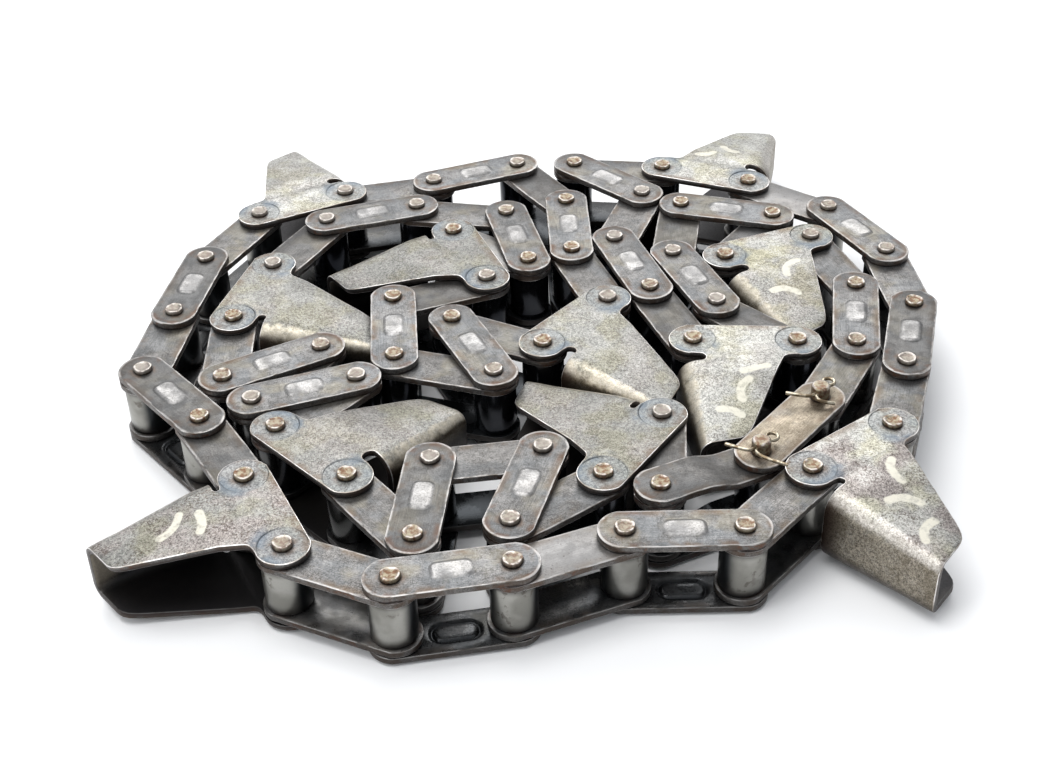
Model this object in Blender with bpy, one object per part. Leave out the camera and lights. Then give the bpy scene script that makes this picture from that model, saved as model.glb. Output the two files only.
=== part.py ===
"""A heap of steel chain: one endless gathering chain of 67 links, laid flat on its side and
folded against itself in a single layer. The pins stand upright, so every link shows its plates
from above. Each link is drawn in its own frame in millimetres, with x from its first pin to its
second and y to its left, and then placed on the floor, +Z up."""

import math

import bmesh
import bpy
import numpy as np
from mathutils import Vector

MM = 0.001

# The chain's own sizes
PITCH = 41.4
PLATE_HALF = 9.4
PLATE_END = 9.7
PIN_RADIUS = 3.55
BORE_RADIUS = 4.15
ROLLER_RADIUS = 8.44
PIN_SIDES = 8
ROLLER_SIDES = 12
END_STEPS = 5

# Heights above the floor, from the pins' lower ends to the connecting pins' tops
OUTER_LOW = (1.2, 3.8)
INNER_LOW = (4.4, 7.0)
INNER_HIGH = (27.3, 29.9)
OUTER_HIGH = (30.3, 32.9)
PIN_TOP = 34.7
LONG_PIN_TOP = 38.8
COTTER_HEIGHT = 36.2

# The lug: a pressed U that is both outer plates of its link. Its points are (u, v), with u along
# the link and v outward, to the right of the link, which is -y.
LUG_SHEET = 2.8
LUG_LOW = 1.0
LUG_HIGH = 33.1
LUG_START = 12.5
# Web point, free edge point, how far the upper flange has closed in, bend radius
LUG_SECTIONS = (
    ((-6.8, LUG_START), (34.8, LUG_START), 0.0, 9.0),
    ((-5.5, 20.0), (32.0, 20.0), 0.0, 8.5),
    ((-0.6, 48.0), (21.9, 48.5), 4.6, 6.0),
    ((0.8, 57.0), (19.9, 52.9), 5.7, 5.2),
    ((1.3, 59.8), (16.6, 55.6), 6.2, 5.0),
)
BEND_STEPS = 3
FREE_CORNER = ((35.4, 11.0), (37.4, 9.95))
SLOT_END = ((-0.4, 9.95), (1.4, 10.7))
# The lower flange closes in as far as the upper one, but less on the lugs that stick out of the
# heap, which have sagged towards the floor
LOW_SHARE = 1.0
SAGGED_SHARE = 0.4
SAGGED_LUGS = (33, 39, 45, 51)

# The offset link's crank runs between these two distances from its inner pin
CRANK = (15.0, 25.0)

# Where each pin stands on the floor, to half a millimetre, going round the chain from the
# connecting link. Every sixth link from the fourth pin is a lug.
PIN_SPOTS = (
    (105, -55), (78, -87), (41, -104), (44, -63), (21, -96), (-13, -120),
    (-1, -82), (-42, -86), (-47, -127), (-72, -94), (-100, -65), (-72, -34),
    (-112, -47), (-88, -13), (-125, -32), (-126, 9), (-114, 49), (-94, 85),
    (-54, 96), (-13, 88), (-4, 48), (-37, 73.5), (-21.5, 34.5), (-61, 19.5),
    (-57, -20), (-20, -33), (-36, 5), (1, -14), (28, 16), (15, 55),
    (14, 97), (-8, 132), (-47, 118), (-87, 110), (-125, 92), (-144, 55),
    (-151, 15), (-157, -26), (-130, -58), (-109, -93), (-91, -131), (-53, -148),
    (-13, -142), (26, -127), (68, -128), (95, -97), (129.5, -73.5), (142.5, -33.5),
    (154, 6.5), (150.5, 48), (132, 85), (98.5, 110.5), (60, 126), (18, 131),
    (49, 103), (33.5, 63.5), (46.5, 24), (62, -15.5), (102, -18.5), (72.5, 12),
    (58, 51), (65.5, 92), (105, 79), (81, 47.5), (120, 60.5), (132, 21.5),
    (125, -19.5),
)
FIRST_LUG = 3
REPEAT = 6

# Cotter pins: the pin each goes through, the way its eye points, and its two legs
COTTERS = (
    (0, 52, ((-6.0, -3.6, 0.0), (-13.5, -2.0, 0.0)), ((-1.4, -6.4, -0.4), (4.0, -7.0, -1.6))),
    (1, 44, ((-6.0, -2.8, 0.0), (-13.0, 0.6, 0.0)), ((-0.4, -6.8, -0.3), (8.0, -11.4, -0.6))),
)
WIRE = 0.8
SHANK = 1.1
HOLE = 1.45


def clear_scene():
    for item in list(bpy.data.objects):
        bpy.data.objects.remove(item, do_unlink=True)


def laid_chain(spots):
    """The pins' places: the spots, moved until they stand one pitch apart all the way round."""
    pins = np.array(spots, float)
    for _ in range(4000):
        steps = np.roll(pins, -1, 0) - pins
        lengths = np.linalg.norm(steps, axis=1)[:, None]
        push = 0.45 * steps * (1 - PITCH / lengths)
        pins += push - np.roll(push, 1, 0)
    return pins


def steel(name, shade, roughness):
    material = bpy.data.materials.new(f"{name}_steel")
    material.use_nodes = True
    shader = material.node_tree.nodes["Principled BSDF"]
    shader.inputs["Base Color"].default_value = (*shade, 1.0)
    shader.inputs["Metallic"].default_value = 0.9
    shader.inputs["Roughness"].default_value = roughness
    return material


def arc(centre, radius, first, last, steps):
    """Points of an arc about a pin at x = centre, between two angles in degrees."""
    turns = [math.radians(first + (last - first) * k / steps) for k in range(steps + 1)]
    return tuple(
        (round(centre + radius * math.cos(a), 5), round(radius * math.sin(a), 5)) for a in turns
    )


def ring(centre, radius, sides):
    return arc(centre, radius, 0, 360 - 360 / sides, sides - 1)


def both_ends(radius, sides):
    return ring(0, radius, sides), ring(PITCH, radius, sides)


def plate():
    half = math.degrees(math.asin(PLATE_HALF / PLATE_END))
    near = arc(0, PLATE_END, 180 - half, 180 + half, END_STEPS)
    return arc(PITCH, PLATE_END, -half, half, END_STEPS) + near


def swung(outline, turn):
    """An outline of the next link, in the frame of the link before it, turned about their pin."""
    cos, sin = math.cos(turn), math.sin(turn)
    return tuple((round(PITCH + x * cos - y * sin, 5), round(x * sin + y * cos, 5)) for x, y in outline)


class Link:
    """Where one link lies: its first pin and its heading."""

    def __init__(self, start, end):
        self.start = start
        self.heading = math.atan2(end[1] - start[1], end[0] - start[0])

    def place(self, made):
        made.location = (self.start[0] * MM, self.start[1] * MM, 0.0)
        made.rotation_euler = (0.0, 0.0, self.heading)


class Body:
    """One closed mesh, put together from slabs and loose faces."""

    def __init__(self):
        self.mesh = bmesh.new()
        self.points = {}

    def vertex(self, x, y, z):
        key = (round(x, 4), round(y, 4), round(z, 4))
        if key not in self.points:
            self.points[key] = self.mesh.verts.new([c * MM for c in key])
        return self.points[key]

    def face(self, *points):
        self.mesh.faces.new([self.vertex(*p) for p in points])

    def slabs(self, slabs, left_open=()):
        """Slabs of (low, high, loops). A loop that goes on through the next slab is not capped."""
        levels, walls = {}, {}
        for low, high, loops in slabs:
            for loop in loops:
                ends = walls.setdefault(loop, set())
                ends.symmetric_difference_update({low, high})
                for z in (low, high):
                    levels.setdefault(z, set()).symmetric_difference_update({loop})
        for loop, ends in walls.items():
            ends = sorted(ends)
            for low, high in zip(ends[::2], ends[1::2]):
                for p, q in zip(loop, loop[1:] + loop[:1]):
                    if frozenset((p, q)) not in left_open:
                        self.face((*p, low), (*q, low), (*q, high), (*p, high))
        for z, loops in levels.items():
            rims = []
            for loop in sorted(loops):
                rim = [self.vertex(*p, z) for p in loop]
                for a, b in zip(rim, rim[1:] + rim[:1]):
                    rims.append(self.mesh.edges.get((a, b)) or self.mesh.edges.new((a, b)))
            if rims:
                bmesh.ops.triangle_fill(self.mesh, use_beauty=True, edges=rims)

    def kept(self, name):
        """The finished mesh, which like links share."""
        bmesh.ops.recalc_face_normals(self.mesh, faces=self.mesh.faces)
        data = bpy.data.meshes.new(name)
        self.mesh.to_mesh(data)
        self.mesh.free()
        data.materials.append(None)
        data.shade_smooth()
        data.set_sharp_from_angle(angle=math.radians(50))
        return data


def part(name, mesh, material):
    """One named object with its own material."""
    made = bpy.data.objects.new(name, mesh)
    bpy.context.scene.collection.objects.link(made)
    made.material_slots[0].link = "OBJECT"
    made.material_slots[0].material = material
    return made


def roller_link():
    """An inner link: two plates on two rollers, bored for the neighbours' pins."""
    bores = both_ends(BORE_RADIUS, PIN_SIDES)
    body = Body()
    body.slabs(
        (
            (*INNER_LOW, (plate(), *bores)),
            (INNER_LOW[1], INNER_HIGH[0], (*both_ends(ROLLER_RADIUS, ROLLER_SIDES), *bores)),
            (*INNER_HIGH, (plate(), *bores)),
        )
    )
    return body.kept("roller_link")


def pin_link():
    """An outer link: two plates riveted on two pins."""
    pins = both_ends(PIN_RADIUS, PIN_SIDES)
    body = Body()
    body.slabs(
        (
            (0.0, OUTER_LOW[0], pins),
            (*OUTER_LOW, (plate(),)),
            (OUTER_LOW[1], OUTER_HIGH[0], pins),
            (*OUTER_HIGH, (plate(),)),
            (OUTER_HIGH[1], PIN_TOP, pins),
        )
    )
    return body.kept("pin_link")


def link_pair(turn):
    """An outer link and the inner link after it, seized together on the pin that they share."""
    first, shared = both_ends(PIN_RADIUS, PIN_SIDES)
    rollers = [swung(loop, turn) for loop in both_ends(ROLLER_RADIUS, ROLLER_SIDES)]
    inner_plate = swung(plate(), turn)
    bore = swung(ring(PITCH, BORE_RADIUS, PIN_SIDES), turn)
    body = Body()
    body.slabs(
        (
            (0.0, OUTER_LOW[0], (first, shared)),
            (*OUTER_LOW, (plate(),)),
            (OUTER_LOW[1], INNER_LOW[0], (first, shared)),
            (*INNER_LOW, (first, inner_plate, bore)),
            (INNER_LOW[1], INNER_HIGH[0], (first, *rollers, bore)),
            (*INNER_HIGH, (first, inner_plate, bore)),
            (INNER_HIGH[1], OUTER_HIGH[0], (first, shared)),
            (*OUTER_HIGH, (plate(),)),
            (OUTER_HIGH[1], PIN_TOP, (first, shared)),
        )
    )
    return body.kept("link_pair")


def lug_foot():
    """The lug's outline round its two pins, up to where the U begins."""
    half = math.degrees(math.asin(PLATE_HALF / PLATE_END))
    bend = LUG_SECTIONS[0][0][0] + LUG_SECTIONS[0][3]
    edge = LUG_SECTIONS[0][1][0]
    outline = ((bend, LUG_START), (edge, LUG_START), *FREE_CORNER)
    outline += arc(PITCH, PLATE_END, 98, -half, 8) + arc(0, PLATE_END, half - 180, -255, END_STEPS)
    return tuple((u, -v) for u, v in outline + SLOT_END)


def lug_section(web, edge, closed_in, low_share, bend):
    """Outer and inner points of the U where it is cut from the web point to the free edge."""
    web, edge = np.array(web), np.array(edge)
    width = np.linalg.norm(edge - web)
    across = (edge - web) / width
    high, low = LUG_HIGH - closed_in, LUG_LOW + low_share * closed_in

    def side(radius, inset):
        turns = [math.radians(90 * k / BEND_STEPS) for k in range(BEND_STEPS + 1)]
        top = [(bend - radius * math.sin(a), high - bend + radius * math.cos(a)) for a in turns]
        bottom = [(w, high + low - z) for w, z in reversed(top)]
        points = []
        for w, z in [(width, high - inset), *top, *bottom, (width, low + inset)]:
            u, v = web + w * across
            points.append((u, -v, z))
        return points

    return side(bend, 0.0), side(bend - LUG_SHEET, LUG_SHEET)


def lug_link(low_share):
    pins = both_ends(PIN_RADIUS, PIN_SIDES)
    foot = lug_foot()
    low = (LUG_LOW, LUG_LOW + LUG_SHEET)
    high = (LUG_HIGH - LUG_SHEET, LUG_HIGH)
    body = Body()
    body.slabs(
        (
            (0.0, low[0], pins),
            (*low, (foot,)),
            (low[1], high[0], pins),
            (*high, (foot,)),
            (high[1], PIN_TOP, pins),
        ),
        left_open={frozenset(foot[:2])},
    )
    sections = [
        lug_section(web, edge, closed_in, low_share, bend)
        for web, edge, closed_in, bend in LUG_SECTIONS
    ]
    for (outer, inner), (next_outer, next_inner) in zip(sections, sections[1:]):
        near = outer + inner[::-1]
        far = next_outer + next_inner[::-1]
        for k in range(len(near)):
            j = (k + 1) % len(near)
            body.face(near[k], near[j], far[j], far[k])
    for (outer, inner), skip in ((sections[0], 1), (sections[-1], 0)):
        for k in range(skip, len(outer) - 1 - skip):
            body.face(outer[k], outer[k + 1], inner[k + 1], inner[k])
    return body.kept("lug_link")


def offset_link():
    """The cranked link: an inner end on the connecting pin, and an outer end with its own pin."""
    half = math.degrees(math.asin(PLATE_HALF / PLATE_END))
    pin = ring(PITCH, PIN_RADIUS, PIN_SIDES)
    bore = ring(0, BORE_RADIUS, PIN_SIDES)
    roller = ring(0, ROLLER_RADIUS, ROLLER_SIDES)
    inner_cut = ((CRANK[0], -PLATE_HALF), (CRANK[0], PLATE_HALF))
    outer_cut = ((CRANK[1], PLATE_HALF), (CRANK[1], -PLATE_HALF))
    inner_end = inner_cut + arc(0, PLATE_END, 180 - half, 180 + half, END_STEPS)
    outer_end = outer_cut + arc(PITCH, PLATE_END, -half, half, END_STEPS)
    body = Body()
    body.slabs(
        (
            (*INNER_LOW, (inner_end, bore)),
            (INNER_LOW[1], INNER_HIGH[0], (roller, bore)),
            (*INNER_HIGH, (inner_end, bore)),
            (0.0, OUTER_LOW[0], (pin,)),
            (*OUTER_LOW, (outer_end,)),
            (OUTER_LOW[1], OUTER_HIGH[0], (pin,)),
            (*OUTER_HIGH, (outer_end,)),
            (OUTER_HIGH[1], PIN_TOP, (pin,)),
        ),
        left_open={frozenset(inner_cut), frozenset(outer_cut)},
    )
    for inner, outer in ((INNER_LOW, OUTER_LOW), (INNER_HIGH, OUTER_HIGH)):
        (a, b), (d, c) = inner_cut, outer_cut
        body.face((*a, inner[0]), (*b, inner[0]), (*d, outer[0]), (*c, outer[0]))
        body.face((*a, inner[1]), (*b, inner[1]), (*d, outer[1]), (*c, outer[1]))
        body.face((*a, inner[0]), (*a, inner[1]), (*c, outer[1]), (*c, outer[0]))
        body.face((*b, inner[0]), (*b, inner[1]), (*d, outer[1]), (*d, outer[0]))
    return body.kept("offset_link")


def tube(points, radius, sides):
    """A closed round bar through the points."""
    points = [np.array(p, float) for p in points]
    body = Body()
    rings = []
    for k, point in enumerate(points):
        way = points[min(k + 1, len(points) - 1)] - points[max(k - 1, 0)]
        way = way / np.linalg.norm(way)
        level = np.cross(way, (0, 0, 1))
        level = level / np.linalg.norm(level)
        rise = np.cross(level, way)
        turns = [2 * math.pi * (j + 0.5) / sides for j in range(sides)]
        rings.append(
            [point + radius * (math.cos(a) * level + math.sin(a) * rise) for a in turns]
        )
    for near, far in zip(rings, rings[1:]):
        for j in range(sides):
            i = (j + 1) % sides
            body.face(near[j], near[i], far[i], far[j])
    body.face(*rings[0])
    body.face(*rings[-1])
    return body


def combine(base, name, body, operation):
    """A Boolean with a helper that stands where its base stands."""
    other = part(name, body.kept(name), None)
    other.hide_render = True
    other.display_type = "WIRE"
    other.parent = base
    modifier = base.modifiers.new(name, "BOOLEAN")
    modifier.operation = operation
    modifier.solver = "EXACT"
    modifier.object = other


def connecting_link(name, headings, material):
    """The lower plate of the connecting link with its two long pins, cross-drilled at the top."""
    pins = both_ends(PIN_RADIUS, PIN_SIDES)
    body = Body()
    body.slabs(
        (
            (0.0, OUTER_LOW[0], pins),
            (*OUTER_LOW, (plate(),)),
            (OUTER_LOW[1], LONG_PIN_TOP, pins),
        )
    )
    made = part(name, body.kept(name), material)
    for k, heading in enumerate(headings):
        reach = np.array((math.cos(heading), math.sin(heading), 0.0)) * 6
        middle = np.array((k * PITCH, 0.0, COTTER_HEIGHT))
        drill = tube((middle - reach, middle + reach), HOLE, 8)
        combine(made, f"cotter_hole_{k + 1}", drill, "DIFFERENCE")
    return made


def cover_plate():
    body = Body()
    body.slabs(((*OUTER_HIGH, (plate(), *both_ends(BORE_RADIUS, PIN_SIDES))),))
    return body.kept("cover_plate")


def cotter_pin(name, heading, legs, material):
    """An eye and a shank through the pin, with two legs spread on the far side."""
    middle = np.array((0.0, 0.0, COTTER_HEIGHT))
    way = np.array((math.cos(heading), math.sin(heading), 0.0))
    side = np.array((-way[1], way[0], 0.0))
    shank = tube((middle - 4.4 * way, middle + 4.6 * way), SHANK, 8)
    made = part(name, shank.kept(name), material)
    eye = middle + 6.2 * way
    turns = [math.radians(180 + 360 * k / 10) for k in range(10)]
    loop = Body()
    rims = []
    for a in turns:
        outward = math.cos(a) * way + math.sin(a) * side
        rims.append(
            [
                eye + outward * (2.2 + WIRE * math.cos(t)) + np.array((0, 0, WIRE * math.sin(t)))
                for t in [math.radians(60 * j) for j in range(6)]
            ]
        )
    for near, far in zip(rims, rims[1:] + rims[:1]):
        for j in range(6):
            i = (j + 1) % 6
            loop.face(near[j], near[i], far[i], far[j])
    combine(made, f"{name}_eye", loop, "UNION")
    for k, leg in enumerate(legs):
        start = middle - 3.9 * way
        bar = tube([start, *(middle + np.array(p) for p in leg)], WIRE, 6)
        combine(made, f"{name}_leg_{k + 1}", bar, "UNION")
    return made


def centre_heap(parts):
    """Hangs every part on one empty, moved so that the heap's box is centred over the origin."""
    bpy.context.view_layer.update()
    points = np.array([made.matrix_world @ v.co for made in parts for v in made.data.vertices])
    middle = (points.min(0) + points.max(0)) / 2
    heap = bpy.data.objects.new("heap", None)
    bpy.context.scene.collection.objects.link(heap)
    heap.location = Vector((-middle[0], -middle[1], 0.0))
    for made in parts:
        made.parent = heap


def main():
    clear_scene()
    pins = laid_chain(PIN_SPOTS)
    count = len(pins)
    links = [Link(pins[k], pins[(k + 1) % count]) for k in range(count)]
    parts = []

    def lay(made, link):
        link.place(made)
        parts.append(made)

    def lay_grey(name, mesh, number, warmth=(0.0, 0.0, 0.0), roughness=0.45):
        grey = 0.19 + 0.02 * (number % 3)
        shade = [grey + w for w in warmth]
        lay(part(name, mesh, steel(name, shade, roughness)), links[number])

    inner, outer = roller_link(), pin_link()
    lug_mesh, sagged_mesh = lug_link(LOW_SHARE), lug_link(SAGGED_SHARE)
    for lug in range(FIRST_LUG, count, REPEAT):
        shape = sagged_mesh if lug in SAGGED_LUGS else lug_mesh
        lay_grey(f"lug_link_{lug:02d}", shape, lug, (0.12, 0.11, 0.09), 0.55)
        lay_grey(f"roller_link_{lug + 1:02d}", inner, lug + 1, (0.0, 0.0, -0.01), 0.5)
        turn = links[lug + 3].heading - links[lug + 2].heading
        lay_grey(f"link_pair_{lug + 2:02d}", link_pair(turn), lug + 2)
        if lug + 5 < count:
            lay_grey(f"pin_link_{lug + 4:02d}", outer, lug + 4)
            lay_grey(f"roller_link_{lug + 5:02d}", inner, lug + 5, (0.0, 0.0, -0.01), 0.5)
    lay_grey("roller_link_02", inner, 2, (0.0, 0.0, -0.01), 0.5)
    lay_grey("offset_link", offset_link(), 1, (0.01, 0.0, -0.01), 0.5)
    lay_grey("cover_plate", cover_plate(), 0, (0.23, 0.17, 0.1), 0.4)

    headings = [math.radians(heading) - links[0].heading for _, heading, *_ in COTTERS]
    base = connecting_link(
        "connecting_link", headings, steel("connecting_link", (0.2, 0.19, 0.18), 0.45)
    )
    lay(base, links[0])
    for k, (pin, heading, *legs) in enumerate(COTTERS):
        name = f"cotter_pin_{k + 1}"
        made = cotter_pin(name, math.radians(heading), legs, steel(name, (0.5, 0.48, 0.44), 0.35))
        made.location = (pins[pin][0] * MM, pins[pin][1] * MM, 0.0)
        parts.append(made)
    centre_heap(parts)


main()
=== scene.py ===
"""The looks of a heap of steel chain: one endless gathering chain that lies on its side, folded
back and forth in a single layer. Every link is modelled in its own frame in millimetres, with x
from its first pin to its second and y to the left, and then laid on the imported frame."""

import math
import random

import bmesh
import bpy
from mathutils import Matrix, Vector, noise

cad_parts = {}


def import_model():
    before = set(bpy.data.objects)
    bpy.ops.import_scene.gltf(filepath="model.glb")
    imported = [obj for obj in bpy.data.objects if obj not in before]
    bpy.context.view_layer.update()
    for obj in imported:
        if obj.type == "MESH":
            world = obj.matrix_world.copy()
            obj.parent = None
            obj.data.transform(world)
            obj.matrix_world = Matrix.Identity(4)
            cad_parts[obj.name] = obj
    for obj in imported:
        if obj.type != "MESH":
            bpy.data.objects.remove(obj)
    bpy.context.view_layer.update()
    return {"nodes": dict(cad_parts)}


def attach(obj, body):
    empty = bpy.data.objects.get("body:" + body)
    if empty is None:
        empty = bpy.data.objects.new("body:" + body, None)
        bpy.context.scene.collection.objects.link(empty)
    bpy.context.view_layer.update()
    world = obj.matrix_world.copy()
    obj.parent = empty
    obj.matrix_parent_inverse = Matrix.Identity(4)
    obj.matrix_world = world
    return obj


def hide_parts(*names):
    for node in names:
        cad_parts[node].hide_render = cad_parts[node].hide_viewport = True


MM = 0.001

# Plates
PITCH = 41.4
PLATE_HALF = 9.4
PLATE_END = 9.7
PLATE = 2.6
END_STEPS = 18
RIM = 0.27

# Where the offset link's plate begins and ends to climb, and how far
CRANK = (13.0, 27.0)
CRANK_STEPS = 8
CRANK_RISE = 3.1

# Heights above the floor
OUTER_LOW, INNER_LOW, INNER_HIGH, OUTER_HIGH = 1.2, 4.4, 27.3, 30.3
HIGH_SEAM = 30.1
PIN_TOP = 34.7
LONG_PIN_TOP = 38.8

# Pins, rollers and bushes
PIN_RADIUS = 3.55
PIN_SIDES = 24
PIN_SEEDS = 7
ROLLER_RADIUS = 8.44
ROLLER_SIDES = 40
ROLLER_GAP = 0.22
ROLLER_PLAY = 0.12
BUSH_RADIUS = 5.4
BUSH_SIDES = 20
# Points of a pin's ends: how far from its axis, and how far from its end
PIN_FOOT = ((0, 0.0), (1.4, 0.0), (2.9, 0.0), (3.4, 0.25), (PIN_RADIUS, 0.7), (PIN_RADIUS, 1.3))
RIVETED_END = (
    (PIN_RADIUS, 1.9), (PIN_RADIUS + 0.15, 1.2), (PIN_RADIUS, 0.4), (3.4, 0.12), (3.2, 0.03),
    (2.9, 0.06), (2.6, 0.22), (2.1, 0.38), (1.3, 0.44), (0.6, 0.46), (0, 0.46),
)
LONG_END = (
    (PIN_RADIUS, 5.6), (PIN_RADIUS, 2.4), (PIN_RADIUS, 0.75), (3.3, 0.4), (2.85, 0.06),
    (2.5, 0.0), (1.2, 0.05), (0, 0.05),
)
# Points of a roller's softened end: how far in from its side, and how far from its end
ROLLER_END = ((0.7, 0.0), (0.25, 0.2), (0.0, 0.65))

# The pad pressed up in the middle of an outer plate, and the oval pressed in behind it: the half
# size of each flat core, and how far each ring of points is from it
PAD_CORE = (4.7, 1.3)
PAD_RISE = 0.8
PAD_FOOT = 3.5
PAD_SLOPE = 2.1
PAD_RINGS = (0.5, 1.0, 1.4, 1.7, 2.0, 2.3, 2.6, 2.9, 3.2, 3.5, 5.0)
PAD_BORDER = (9.3, 5.6)
PRESSED_FIELD = (12, 8)
OVAL_CORE = (4.6, 0.3)
OVAL_REACH = 3.65
OVAL_SLOPES = (1.15, 1.9)
OVAL_DEPTH = 0.95
OVAL_RINGS = (1.0, 2.5, 2.75, 2.95, 3.15, 3.35, 3.55, 3.75, 3.95, 4.2, 4.5, 4.9, 5.5)
SIDE_STEPS = (4, 2, 8, 2, 4)
CORNER_STEPS = 6

# The lug, with u along its link and v outward, to the right of the link
LUG_SHEET = 2.6
LUG_TOP = 33.1
LUG_BOTTOM = 1.0
LUG_START = 12.5
STEP_RADIUS = 9.05
COIN_RADIUS = 8.6
COIN_DEPTH = 0.3
# Web point, free edge point, how far the upper flange has closed in, bend radius
LUG_SECTIONS = (
    ((-6.8, LUG_START), (34.8, LUG_START), 0.0, 9.0),
    ((-5.5, 20.0), (32.0, 20.0), 0.0, 8.5),
    ((-0.6, 48.0), (21.9, 48.5), 4.6, 6.0),
    ((0.0, 52.5), (20.9, 50.9), 5.1, 5.7),
    ((0.5, 55.5), (19.9, 52.9), 5.5, 5.4),
    ((0.9, 58.0), (18.5, 54.5), 5.9, 5.2),
    ((1.3, 59.8), (16.6, 55.6), 6.2, 5.0),
)
LUG_STEPS = (3, 9, 2, 1, 1, 1)
BEND_STEPS = 9
FREE_CORNER = ((35.2, 11.6), (35.9, 10.8), (36.9, 10.25), (38.2, 9.9), (39.6, 9.75))
# Turns about a pin, in degrees: where each tab's round rim begins or ends, and between which
# turns it is pressed down with its ring
TAB_TURN = 94
FREE_TURN = 93
FIRST_PRESSED = (96, 254)
SECOND_PRESSED = (-73, 90)
TAB_STEPS = 20
REST_STEPS = 34
SLOT_START = 9.9
SLOT_RADIUS = 1.0
WIDEST_SLOT = 2.3
SLOT_STEPS = 9
# Where the bend begins on lugs with a wider slot beside the first pin's tab
WIDE_SLOTS = {9: 15.8, 15: 13.4, 27: 14.8, 33: 14.0, 45: 13.4, 51: 15.0, 57: 14.8, 63: 14.8}
# The lower flange closes in as far as the upper one, but less on the lugs that stick out of the
# heap, which have sagged towards the floor
SAGGED_SHARE = 0.4
SAGGED_LUGS = (33, 39, 45, 51)

# Camera: place in millimetres, tilt and roll in degrees
PHOTO_WIDTH = 1054
FOCAL_PIXELS = 1613.0
SENSOR = 36.0
CAMERA_PLACE = (-4.25, -546.07, 404.7)
CAMERA_TILT = 36.71
CAMERA_ROLL = -1.52

FACE, EDGE, WALL, ROLLER, PIN = range(5)
MAP_UNIT = 100.0

# Edges that get a round rim, in radians, and edges that are shaded sharp, in degrees
RIM_ANGLE = 1.2
SHARP_ANGLE = 32

# The rollers get painted light on the side that faces away from this place, and painted shade on
# the side that faces it
HEAP_BACK = Vector((0.0, 0.09, 0.0))
# Distances from the heap's middle at which oil and painted shade begin and are full
HEAP_INSIDE = (0.152, 0.118)

# Links that look paler or duller than the rest, by tone
LINK_TONES = {
    0.0: (20, 42, 50),
    0.2: (11, 23, 31, 32, 40, 41, 43, 49, 61),
    0.8: (7, 12, 16, 38, 58, 60, 62),
    1.0: (2, 22, 30, 35, 37, 47, 56),
}
# How pale a lug's sheet is, and the lugs that differ
LUG_PALE = 0.4
PALE_LUGS = {
    3: 0.31, 9: 0.34, 15: 0.35, 21: 0.29, 33: 0.54,
    39: 0.36, 45: 0.57, 51: 0.56, 57: 0.56, 63: 0.47,
}
# Lugs with more red-brown patches and spots, and with more ochre
RUSTY_LUGS = (39, 45)
OCHRE_LUGS = (63,)

# Cotter pins: height of the wire's middle, its radius, the eye's radius and its distance from
# the pin, where the straight part begins and ends, and half the gap of its two halves
COTTER_HEIGHT = 36.2
WIRE_RADIUS = 0.72
EYE_RADIUS = 2.3
EYE_AWAY = 6.2
STRAIGHT_PART = (-4.0, 3.4)
WIRE_APART = 0.35
# Each cotter's pin, heading in degrees, and points of its bent legs from the pin's middle
COTTER_LEGS = (
    (
        0, 52, ((-4.6, -4.0, 0.1), (-8.5, -3.4, 0.2), (-13.4, -1.6, 0.2)),
        ((-2.2, -5.4, -0.3), (0.6, -6.6, -1.0), (4.4, -6.4, -1.8)),
    ),
    (
        1, 44, ((-4.6, -3.4, 0.1), (-8.5, -1.8, 0.1), (-13.0, 0.6, 0.1)),
        ((-2.0, -5.6, 0.0), (1.6, -8.6, -0.2), (8.0, -11.4, -0.6)),
    ),
)

# White brush marks, which spell nothing: place on the lug, turn from the link's direction, length,
# and radius of the arc
BRUSH = 3.2
STRAIGHT = 300.0
BRUSH_MARKS = {
    39: ((13.6, 30.5, -52.0, 12.0, 11.0), (16.6, 20.9, -14.0, 9.5, 14.0)),
    45: (
        (21.0, 18.5, 62.0, 12.0, 9.0), (14.6, 30.5, -38.0, 12.0, 10.0),
        (10.5, 44.5, 25.0, 11.0, 8.5),
    ),
    51: ((25.0, 18.0, 35.0, 8.0, 7.0), (17.0, 27.0, -30.0, 9.0, 8.0)),
    57: (
        (23.5, 19.5, 20.0, 10.0, STRAIGHT), (17.5, 30.5, 75.0, 12.0, 9.0),
        (13.5, 42.0, -20.0, 9.0, 8.0),
    ),
    63: ((20.5, 18.0, 40.0, 12.0, 9.0), (12.5, 31.0, -25.0, 11.0, 8.0)),
}


def ease(t):
    t = min(max(t, 0.0), 1.0)
    return t * t * (3 - 2 * t)


def blend(a, b, t):
    return a + (b - a) * t


class Link:
    """Where one link lies: its first pin and its heading."""

    def __init__(self, start, end):
        self.start = Vector((*start, 0))
        self.heading = math.atan2(end[1] - start[1], end[0] - start[0])

    def matrix(self):
        turn = Matrix.Rotation(self.heading, 4, "Z")
        return Matrix.Translation(self.start) @ turn @ Matrix.Scale(MM, 4)


def pin_feet(node):
    """Centres of the pins' lower ends of a node, in metres: its lowest points, in groups that
    are as wide as a pin."""
    low = [v.co.to_2d() for v in node.data.vertices if v.co.z < 0.1 * MM]
    groups = []
    for point in low:
        for group in groups:
            if (group[0] - point).length < 8 * MM:
                group.append(point)
                break
        else:
            groups.append([point])
    return [sum(g, Vector((0, 0))) / len(g) for g in groups]


def laid_pins(nodes):
    """All pins in the chain's order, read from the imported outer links."""
    links = {0: "connecting_link", 1: "offset_link"}
    for name in nodes:
        if name.startswith(("lug_link", "pin_link", "link_pair")):
            links[int(name[-2:])] = name
    last = pin_feet(nodes["offset_link"])[0]
    first = pin_feet(nodes["connecting_link"])
    first.sort(key=lambda p: -abs((p - last).length - PITCH * MM))
    pins = [*first, last]
    for number in sorted(links)[2:]:
        pair = pin_feet(nodes[links[number]])
        pair.sort(key=lambda p: abs((p - pins[-1]).length - PITCH * MM))
        pins += pair
    return pins, links


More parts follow.
